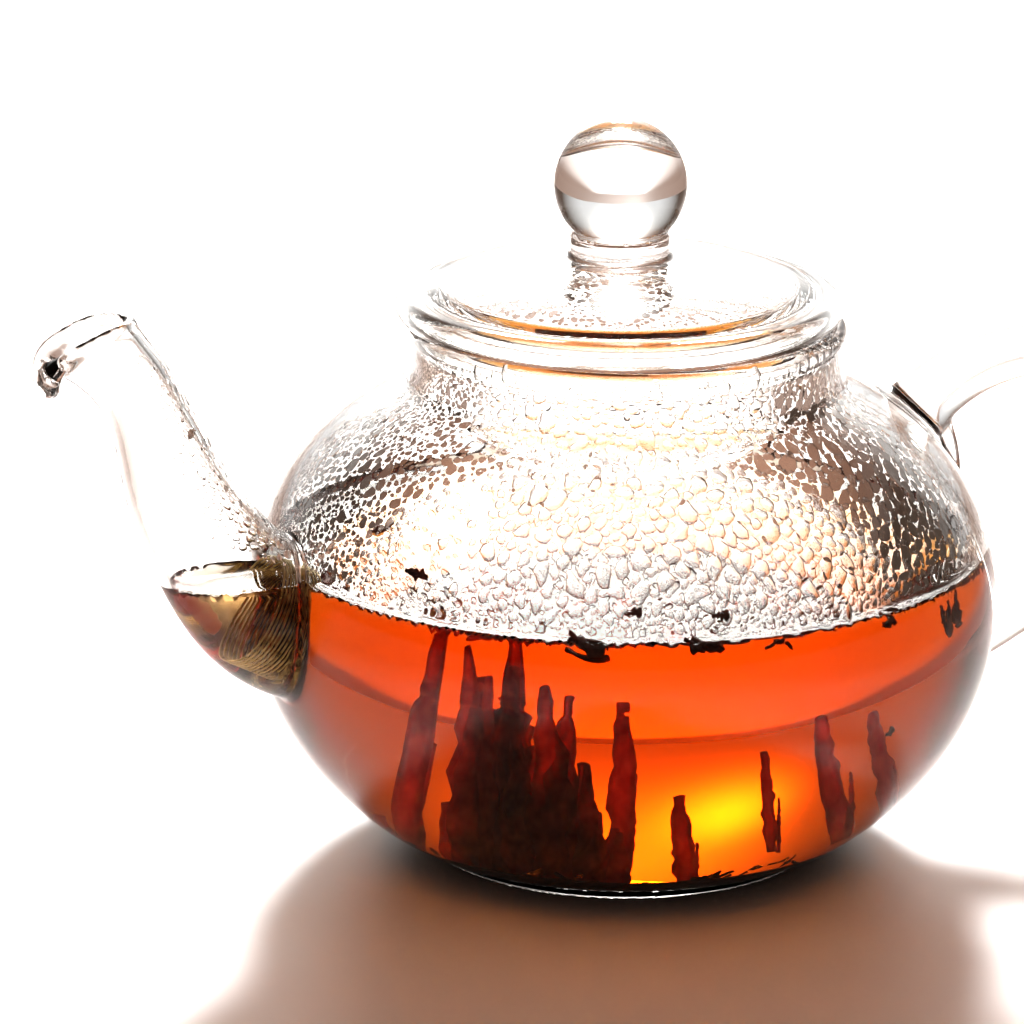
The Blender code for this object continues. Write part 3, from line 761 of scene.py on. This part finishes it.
def drop_shapes(places, normals, radii, stretch, slant, sides, rings):
    """Closed flattened drops of water whose feet are sunk into the glass.

    Each ring is its share of the drop's reach and its share of the height, below 0 for the foot.
    """
    sink = 0.06
    down = np.array([0.0, 0.0, -1.0]) - normals * (-normals[:, 2:3])
    flat = np.linalg.norm(down, axis=1) < 0.3
    down[flat] = np.cross(normals[flat], [1.0, 0.3, 0.0])
    down = unit(down)
    side = np.cross(normals, down)
    turned_down = down * np.cos(slant)[:, None] + side * np.sin(slant)[:, None]
    side = np.cross(normals, turned_down)
    count = len(places)
    angle = math.tau * np.arange(sides) / sides
    wobble = 1 + sum(most * rng.uniform(0.2, 1, (count, 1))
                     * np.cos(waves * angle + rng.uniform(0, 6, (count, 1)))
                     for waves, most in ((2, 0.24), (3, 0.20), (4, 0.10)))
    reach = radii[:, None] * wobble
    height = radii * rng.uniform(0.18, 0.33, count)
    points = []
    for share, rise in rings:
        lift = np.full(count, -sink) if rise < 0 else height * rise
        points.append(places[:, None] + side[:, None] * (reach * share * np.cos(angle))[..., None]
                      + turned_down[:, None] * (reach * share * stretch[:, None] * np.sin(angle))[..., None]
                      + (normals * lift[:, None])[:, None])
    points.append((places + normals * height[:, None])[:, None])
    points = np.concatenate(points, axis=1)
    size = points.shape[1]
    pattern = [tuple(range(sides))[::-1]]
    for ring in range(len(rings) - 1):
        for i in range(sides):
            a, b = ring * sides + i, ring * sides + (i + 1) % sides
            pattern.append((a, b, b + sides, a + sides))
    last = (len(rings) - 1) * sides
    for i in range(sides):
        pattern.append((last + i, last + (i + 1) % sides, size - 1))
    faces = [tuple(base + i for i in face)
             for base in range(0, count * size, size) for face in pattern]
    return points.reshape(-1, 3), faces


def add_drops(name, body, material, places, normals, radii, stretch, slant):
    big = radii > 0.42
    parts = []
    for group, sides, rings in ((big, 10, ((1.0, -1), (0.85, 0.52), (0.5, 0.88))),
                                (~big, 6, ((1.0, -1), (0.68, 0.68)))):
        if group.any():
            parts.append(drop_shapes(places[group], normals[group], radii[group],
                                     stretch[group], slant[group], sides, rings))
    points, faces = joined(parts)
    drops = mesh_object(name, points, faces, material)
    drops.data.polygons.foreach_set("use_smooth", [len(face) < 6 for face in faces])   # flat feet
    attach(drops, body)


def wall_line():
    """Radius, height and inward normal along the inner wall above the tea."""
    z = np.arange(59.0, 98.6, 0.25)
    r = body_radius(z)
    slope = np.gradient(r, z)
    size = np.hypot(1, slope)
    return r - WALL / size, z + WALL * slope / size, -1 / size, slope / size


def bell(value, centre, width):
    return np.exp(-((value - centre) / width) ** 2)


def body_drops(material):
    line_r, line_z, line_nr, line_nz = wall_line()
    run = np.hypot(np.diff(line_r), np.diff(line_z))
    weight = np.append(run, run[-1]) * line_r * (line_z > 61.0)
    count = 52000
    pick = rng.choice(len(line_r), count, p=weight / weight.sum())
    turn = rng.uniform(-180, 180, count)          # degrees from the side that faces the viewer
    angle = np.radians(turn - (90 + VIEW_DEGREES))
    z = line_z[pick] + rng.uniform(-0.12, 0.12, count)
    places = np.column_stack([line_r[pick] * np.cos(angle), line_r[pick] * np.sin(angle), z])
    normals = np.column_stack([line_nr[pick] * np.cos(angle), line_nr[pick] * np.sin(angle),
                               line_nz[pick]])
    patch = 0.5 + 0.5 * np.sin(turn * 0.11 + 2 * np.sin(z * 0.21)) * np.cos(z * 0.33 + turn * 0.05)
    middle = bell(turn, 8, 42) * bell(z, 74, 15)
    typical = 0.38 + 0.34 * middle + 0.25 * patch * bell(z, 80, 16) - 0.12 * bell(turn, -68, 22)
    typical -= 0.20 * bell(z, 60, 3.0)
    radii = typical * np.exp(rng.normal(0, 0.33, count))
    radii = np.clip(radii, 0.16, 1.75)
    clear = (bell(turn, -33, 14) + 0.7 * bell(turn, -150, 22)) * bell(z, 74, 14)
    keep = rng.uniform(0, 1, count) > 0.985 * np.clip(clear * 1.25, 0, 1)
    keep &= rng.uniform(0, 1, count) > 0.8 * (np.abs(turn) > 100)
    keep &= np.abs(cavity(*places.T)) < 0.12
    places, normals, radii, turn = places[keep], normals[keep], radii[keep], turn[keep]
    kept = thin_out(places, radii, 0.97)
    places, normals, radii, turn = places[kept], normals[kept], radii[kept], turn[kept]
    stretch = 1 + np.clip(radii - 0.5, 0, 1) * rng.uniform(-0.2, 0.7, len(radii))
    slant = rng.normal(0, 0.35, len(radii)) + 0.6 * bell(turn, 60, 30)
    stretch += 0.45 * bell(turn, 60, 25)
    front = np.abs(turn) < 90
    for name, group in (("drops_front", front), ("drops_back", ~front)):
        add_drops(name, "pot", material, places[group], normals[group],
                  radii[group], stretch[group], slant[group])


def spout_drops(material):
    count = 2600
    t = 0.24 + 0.6 * rng.uniform(0, 1, count) ** 1.6
    turn = rng.normal(0.25, 0.42, count)
    cx, cz, ax, az, _, _, half_long, half_wide = station_plane(t)
    a, b = half_long - SPOUT_WALL, half_wide - SPOUT_WALL
    places = np.column_stack([cx + ax * a * np.cos(turn), b * np.sin(turn),
                              cz + az * a * np.cos(turn)])
    normals = -unit(gradient(spout_bore, places))
    radii = np.clip(0.42 * np.exp(rng.normal(0, 0.35, count)) * (1.25 - 0.6 * t), 0.14, 0.9)
    keep = (places[:, 2] > 61.0) & (np.abs(cavity(*places.T)) < 0.1)
    keep &= rng.uniform(0, 1, count) < 1.15 - t
    places, normals, radii = places[keep], normals[keep], radii[keep]
    kept = thin_out(places, radii, 1.05)
    add_drops("drops_spout", "pot", material, places[kept], normals[kept], radii[kept],
              1 + rng.uniform(0, 0.6, len(kept)), rng.normal(0, 0.4, len(kept)))


def lid_drops(material):
    count = 9000
    r = 31.5 * np.sqrt(rng.uniform(0.0, 1, count))
    turn = rng.uniform(-math.pi, math.pi, count)
    slope = -dome_slope(r)
    size = np.hypot(1, slope)
    places = np.column_stack([LID_X + r * np.cos(turn), r * np.sin(turn),
                              dome_height(r) - LID_WALL * size])
    normals = np.column_stack([slope * np.cos(turn), slope * np.sin(turn), -np.ones(count)])
    normals = normals / size[:, None]
    ring = 0.30 + 0.28 * bell(r, 13, 7) + 0.10 * np.sin(r * 0.9 + 3 * turn)
    radii = np.clip(ring * np.exp(rng.normal(0, 0.3, count)), 0.16, 1.1)
    keep = rng.uniform(0, 1, count) < 0.55 + 0.45 * bell(r, 10, 12)
    places, normals, radii = places[keep], normals[keep], radii[keep]
    kept = thin_out(places, radii, 0.98)
    count = len(kept)
    add_drops("drops_lid", "lid", material, places[kept], normals[kept], radii[kept],
              1 + rng.uniform(0, 0.5, count), rng.uniform(-3, 3, count))


# ---------------------------------------------------------------- leaves
def ragged_leaf(length, width, thickness, seed, levels=14, curl=0.3, spikes=0.35, taper=0.6):
    """A torn leaf along +Z: rings of six points with a jagged width that changes along it."""
    own = np.random.default_rng(seed)
    share = np.linspace(0, 1, levels)
    shape = (1 - taper * share ** 2.2) * (0.75 + 0.25 * np.sin(math.pi * np.clip(share * 1.1, 0, 1)))
    left = width * shape * (1 + spikes * own.uniform(-1, 1, levels))
    right = width * shape * (1 + spikes * own.uniform(-1, 1, levels))
    sway = np.cumsum(own.normal(0, 0.05 * width, levels))
    depth = (curl * width * np.sin(share * 3 + own.uniform(0, 6))
             + np.cumsum(own.normal(0, 0.04 * width, levels)))
    rings = []
    for i in range(levels):
        z = length * share[i] + own.normal(0, 0.12 * length / levels) * (0 < i < levels - 1)
        thick = thickness * (0.6 + 0.4 * shape[i]) * own.uniform(0.7, 1.25)
        bow = curl * width * 0.5
        rings.append([(sway[i] - left[i], depth[i], z),
                      (sway[i] - 0.4 * left[i], depth[i] + bow - thick,
                       z + own.normal(0, 0.02) * length / levels),
                      (sway[i] + 0.4 * right[i], depth[i] + bow - thick, z),
                      (sway[i] + right[i], depth[i], z),
                      (sway[i] + 0.4 * right[i], depth[i] + bow + thick, z),
                      (sway[i] - 0.4 * left[i], depth[i] + bow + thick, z)])
    points = np.array(rings).reshape(-1, 3)
    faces = [tuple(range(6))[::-1]]
    for i in range(levels - 1):
        for k in range(6):
            a, b = i * 6 + k, i * 6 + (k + 1) % 6
            faces.append((a, b, b + 6, a + 6))
    faces.append(tuple(range((levels - 1) * 6, levels * 6)))
    return points, faces


def placed(part, turn, place):
    """Turns a piece by Euler angles in degrees and moves it."""
    about_x, about_y, about_z = (Matrix.Rotation(math.radians(angle), 3, axis)
                                 for angle, axis in zip(turn, "XYZ"))
    rotation = np.array(about_z @ about_y @ about_x)
    return part[0] @ rotation.T + np.array(place), part[1]


def leaf_object(name, parts, material, replaced=None):
    points, faces = joined(parts)
    obj = mesh_object(name, points, faces, material)
    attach(obj, "pot")
    if replaced:
        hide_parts(replaced)


# angle, distance, height, half width, lean and lift above the bed
STANDING_LEAVES = (
    (157.5, 31.0, 31.0, 2.4, 5.0, 1.5), (164, 34.5, 10.0, 2.4, -1.0, 1.0),
    (-112.5, 3.0, 17.5, 1.9, 0.0, 6.5), (-77, 17.2, 12.0, 1.8, -1.0, 3.5),
    (-19, 20.5, 8.5, 1.0, -1.0, 9.5), (-22.5, 31.0, 13.0, 1.9, -2.5, 10.0),
    (-14, 37.0, 9.5, 1.6, -2.5, 13.0))
CLUMP_TOPS = (38, 43, 41, 31, 36, 27, 19)
# angle, distance, half length and half width
FLOATING_LEAVES = (
    (-115, 64.0, 4.2, 2.4), (-98, 64.5, 3.2, 2.2), (-86, 64.5, 1.6, 1.2), (-64, 64.5, 2.6, 1.6),
    (150, 48.0, 3.0, 1.5))
# angle, height, length and tilt
WALL_FLAKES = (
    (-146.0, 66.5, 5.0, 84), (-109.5, 64.0, 3.2, 95), (-95.5, 62.8, 3.4, 80), (-65.0, 37.0, 2.6, 100),
    (-51.5, 50.5, 7.0, 6), (-50.0, 52.5, 6.0, -12), (-48.5, 51.5, 6.5, 10), (-53.0, 53.0, 4.5, 25))


def add_standing_leaves(material):
    for index, (angle, distance, height, half_width, lean, lift) in enumerate(STANDING_LEAVES):
        turn = math.radians(angle)
        foot_point = (distance * math.cos(turn), distance * math.sin(turn), BED_TOP - 1.0 + lift)
        tilt = math.degrees(math.atan2(lean, height))
        leaf = ragged_leaf(height + 1, half_width, 0.35, 40 + index, curl=0.4, taper=0.35, spikes=0.25)
        parts = [placed(leaf, (0, tilt, -VIEW_DEGREES), foot_point)]
        sliver = ragged_leaf(height * 0.6, half_width * 0.4, 0.3, 60 + index)
        parts.append(placed(sliver, (4, tilt + 5, 10), np.array(foot_point) + (1.2, 0.6, 0)))
        leaf_object(f"stem_{index + 1}", parts, material, f"leaf_stem_{index + 1}")


def add_clump(material):
    parts = []
    along = np.array([math.cos(math.radians(-22)), math.sin(math.radians(-22))])
    across = np.array([-along[1], along[0]])
    for index, top in enumerate(CLUMP_TOPS):
        for layer in range(4):
            shift = (index - 3) * 3.4 + rng.uniform(-1.7, 1.7)
            away = (layer - 1.5) * 1.5 + rng.uniform(-0.4, 0.4)
            x, y = np.array([-15.0, -3.5]) + along * shift + across * away
            share = rng.uniform(0.92, 1.02) if layer < 2 else rng.uniform(0.45, 0.9)
            height = (top - BED_TOP + 1) * share
            leaf = ragged_leaf(height, rng.uniform(2.2, 3.8), 0.4, 100 + index * 7 + layer,
                               curl=0.5, spikes=0.35, taper=0.7 if layer < 2 else 0.6)
            parts.append(placed(leaf, (rng.uniform(-3, 3), rng.uniform(-5, 5), rng.uniform(-50, 10)),
                                (x, y, BED_TOP - 1)))
    leaf_object("leaf_clump_blades", parts, material, "leaf_clump")


def add_bed(material):
    """A heap of torn leaves on the bottom, with loose flakes on top and up the sides."""
    count_r, count_a = 26, 110
    points, faces = [], []
    for i in range(count_r):
        r = 46.4 * i / (count_r - 1)
        for k in range(count_a):
            a = math.tau * k / count_a
            x, y = r * math.cos(a), r * math.sin(a)
            lump = (math.sin(0.42 * x + 1.3 * math.sin(0.3 * y)) * math.cos(0.37 * y + x * 0.11)
                    + 0.6 * math.sin(0.9 * x - 0.7 * y) + 0.4 * math.cos(1.7 * y + 0.6 * x))
            top = BED_TOP - 1.3 + 0.75 * lump
            points.append((x, y, top))
    points = np.array(points)
    under = points.copy()
    r = np.hypot(under[:, 0], under[:, 1])
    under[:, 2] = np.where(r < 36, FLOOR + WALL + 0.35, FLOOR + WALL + 0.35 + (r - 36) ** 2 / 34)
    points[:, 2] = np.maximum(points[:, 2], under[:, 2] + 0.35)
    size = len(points)
    for i in range(count_r - 1):
        for k in range(count_a):
            a, b = i * count_a + k, i * count_a + (k + 1) % count_a
            faces.append((a, a + count_a, b + count_a, b))
            faces.append((size + a, size + b, size + b + count_a, size + a + count_a))
    for k in range(count_a):
        a, b = (count_r - 1) * count_a + k, (count_r - 1) * count_a + (k + 1) % count_a
        faces.append((a, size + a, size + b, b))
    parts = [(np.vstack([points, under]), faces)]
    for index in range(230):
        r = 45 * math.sqrt(rng.uniform(0.02, 1))
        a = rng.uniform(0, math.tau)
        height = BED_TOP - 0.9 + rng.uniform(-0.6, 1.4) + max(r - 38, 0) ** 2 / 20
        leaf = ragged_leaf(rng.uniform(3, 7.5), rng.uniform(0.6, 1.7), 0.3, 300 + index, levels=7,
                           curl=0.6, spikes=0.5)
        parts.append(placed(leaf, (rng.uniform(60, 105), rng.uniform(-25, 25), rng.uniform(0, 360)),
                            (r * math.cos(a), r * math.sin(a), height)))
    leaf_object("leaf_pile", parts, material, "leaf_bed")


def add_floats(material):
    for index, (angle, distance, half_long, half_wide) in enumerate(FLOATING_LEAVES):
        turn = math.radians(angle)
        parts = []
        for bit in range(3):
            leaf = ragged_leaf(half_long * rng.uniform(1.0, 1.9), half_wide * rng.uniform(0.4, 0.8), 0.3,
                               700 + index * 7 + bit, levels=8, curl=0.5, spikes=0.6)
            place = (distance * math.cos(turn) + rng.uniform(-1.5, 1.5),
                     distance * math.sin(turn) + rng.uniform(-0.8, 0.8), TEA_LEVEL - rng.uniform(0.2, 1.2))
            parts.append(placed(leaf, (rng.uniform(50, 95), rng.uniform(-40, 40),
                                       angle + rng.uniform(-30, 30)), place))
        leaf_object(f"float_{index + 1}", parts, material, f"leaf_float_{index + 1}")


def add_flakes(material):
    """Bits of leaf close to the wall."""
    parts = []
    for index, (angle, z, length, tilt) in enumerate(WALL_FLAKES):
        leaf = ragged_leaf(length, 0.16 * length + 0.4, 0.25, 900 + index, levels=9, curl=0.2, spikes=0.6)
        turn = math.radians(angle)
        radius = body_radius(np.array([z]))[0] - WALL - 0.75
        parts.append(placed(leaf, (0, tilt, angle - 90),
                            (radius * math.cos(turn), radius * math.sin(turn), z)))
    leaf_object("wall_flakes", parts, material)


def add_coil():
    """The strainer: a wire coil whose turns lie a little apart."""
    start, end = np.array(COIL_START), np.array(COIL_END)
    axis = unit(end - start)
    side = np.array([0.0, 1.0, 0.0])
    up = np.cross(axis, side)
    rings, sides, per_turn = [], 8, 48
    count = COIL_TURNS * per_turn
    for i in range(count + 1):
        a = math.tau * i / per_turn
        spoke = side * math.cos(a) + up * math.sin(a)
        centre = start + (end - start) * i / count + spoke * COIL_RADIUS
        rings.append([centre + COIL_WIRE * (spoke * math.cos(b) + axis * math.sin(b))
                      for b in math.tau * np.arange(sides) / sides])
    points = np.array(rings).reshape(-1, 3)
    faces = [tuple(range(sides)), tuple(range(len(points) - sides, len(points)))[::-1]]
    for i in range(len(rings) - 1):
        for k in range(sides):
            a, b = i * sides + k, i * sides + (k + 1) % sides
            faces.append((a, a + sides, b + sides, b))
    coil = mesh_object("strainer_coil", points, faces, coil_steel("strainer_coil"))
    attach(coil, "pot")
    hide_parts("spout_strainer")


bpy.context.scene.view_settings.view_transform = "Standard"
bpy.context.scene.view_settings.gamma = 0.88
cycles = bpy.context.scene.cycles
cycles.max_bounces = 28
cycles.transmission_bounces = 28
cycles.transparent_max_bounces = 28
cycles.glossy_bounces = 8
cycles.caustics_refractive = True
cycles.caustics_reflective = False

add_camera()
add_floor()
add_world()
add_area("back_light", (0, 1.043, 0.477), (0, 0.28, 0), (0.42, 0.62), 1.6, 14)
add_pot()
add_lid()
add_tea()
wet = water("condensation")
leaf = wet_leaf("steeped_leaf", (0.060, 0.015, 0.008), (0.25, 0.05, 0.02), 0.3)
red_leaf = wet_leaf("red_leaf", (0.50, 0.09, 0.05), (1.0, 0.36, 0.18), 0.92)
body_drops(wet)
spout_drops(wet)
lid_drops(wet)
add_standing_leaves(red_leaf)
add_clump(red_leaf)
add_bed(leaf)
add_floats(leaf)
add_flakes(leaf)
add_coil()
